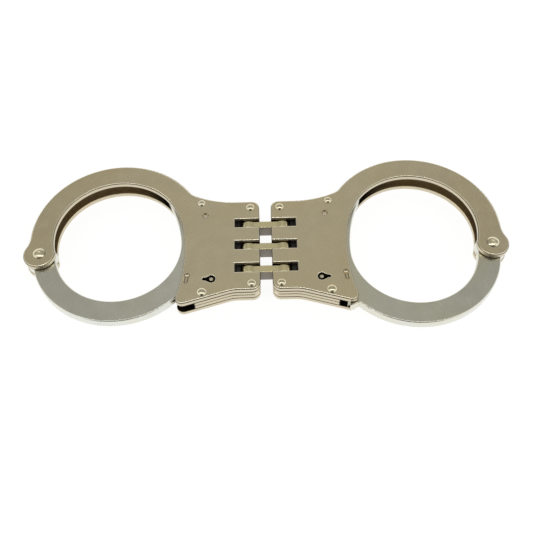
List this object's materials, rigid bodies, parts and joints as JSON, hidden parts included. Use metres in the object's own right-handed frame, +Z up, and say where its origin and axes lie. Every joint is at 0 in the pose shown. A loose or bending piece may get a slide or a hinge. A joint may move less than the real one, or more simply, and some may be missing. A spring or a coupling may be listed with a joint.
{
  "type": "handcuffs",
  "caption": "Hinged double-locking handcuffs with swing-through strands and ratchet pawls.",
  "frame": {"origin": "midway between the two hinge pins, on the surface that the underside rivet heads rest on", "axes": "+X to the right-hand cuff along the cuffs' length, +Y to the far side with the fixed bows, +Z up through the plates"},
  "size_m": [0.227, 0.0912, 0.0124],
  "materials": {
    "satin_nickel": "satin nickel plate",
    "strand_nickel": "satin nickel plate, slightly cooler",
    "polished_nickel": "polished nickel plate",
    "lock_steel": "hardened steel, ground",
    "spring_steel": "blued spring steel"
  },
  "bodies": {
    "left_cuff": {"left_top_cheek": "satin_nickel", "left_bottom_cheek": "satin_nickel", "left_upper_spacer": "satin_nickel", "left_lower_spacer": "satin_nickel", "left_housing_rivets": "polished_nickel", "left_strand_pivot": "polished_nickel", "left_pawl_pin": "polished_nickel", "left_pawl_spring": "spring_steel", "left_double_lock_detent": "spring_steel", "left_key_post": "polished_nickel", "left_hinge_pin": "lock_steel"},
    "left_strand": {"left_strand": "strand_nickel"},
    "left_pawl": {"left_pawl": "lock_steel"},
    "left_double_lock": {"left_double_lock_bar": "lock_steel", "left_double_lock_plunger": "lock_steel"},
    "right_cuff": {"right_top_cheek": "satin_nickel", "right_bottom_cheek": "satin_nickel", "right_upper_spacer": "satin_nickel", "right_lower_spacer": "satin_nickel", "right_housing_rivets": "polished_nickel", "right_strand_pivot": "polished_nickel", "right_pawl_pin": "polished_nickel", "right_pawl_spring": "spring_steel", "right_double_lock_detent": "spring_steel", "right_key_post": "polished_nickel", "right_hinge_pin": "lock_steel"},
    "right_strand": {"right_strand": "strand_nickel"},
    "right_pawl": {"right_pawl": "lock_steel"},
    "right_double_lock": {"right_double_lock_bar": "lock_steel", "right_double_lock_plunger": "lock_steel"},
    "hinge_links": {"upper_link": "satin_nickel", "middle_link": "satin_nickel", "lower_link": "satin_nickel"}
  },
  "joints": [
    {"name": "left_hinge", "type": "hinge", "parent": "left_cuff", "child": "hinge_links", "pos_m": [-0.0081, 0, 0.0062], "axis": [0, 1, 0], "range_deg": [-90, 90]},
    {"name": "right_hinge", "type": "hinge", "parent": "hinge_links", "child": "right_cuff", "pos_m": [0.0081, 0, 0.0062], "axis": [0, 1, 0], "range_deg": [-90, 90]},
    {"name": "left_strand_swing", "type": "hinge", "parent": "left_cuff", "child": "left_strand", "pos_m": [-0.106, -0.0024, 0.0062], "axis": [0, 0, 1], "continuous": true},
    {"name": "left_double_lock_slide", "type": "slide", "parent": "left_cuff", "child": "left_double_lock", "axis": [0, -1, 0], "range_m": [0, 0.003]},
    {"name": "left_pawl_swing", "type": "hinge", "parent": "left_cuff", "child": "left_pawl", "pos_m": [-0.02865, 0.0168, 0.0062], "axis": [0, 0, 1], "range_deg": [-6.01, 0]},
    {"name": "right_strand_swing", "type": "hinge", "parent": "right_cuff", "child": "right_strand", "pos_m": [0.106, -0.0024, 0.0062], "axis": [0, 0, 1], "continuous": true},
    {"name": "right_double_lock_slide", "type": "slide", "parent": "right_cuff", "child": "right_double_lock", "axis": [0, -1, 0], "range_m": [0, 0.003]},
    {"name": "right_pawl_swing", "type": "hinge", "parent": "right_cuff", "child": "right_pawl", "pos_m": [0.02865, 0.0168, 0.0062], "axis": [0, 0, 1], "range_deg": [0, 6.01]}
  ],
  "couplings": [
    {"joint": "left_pawl_swing", "follows": "left_double_lock_slide", "rad_per_m": -34.907},
    {"joint": "right_pawl_swing", "follows": "right_double_lock_slide", "rad_per_m": 34.907}
  ]
}
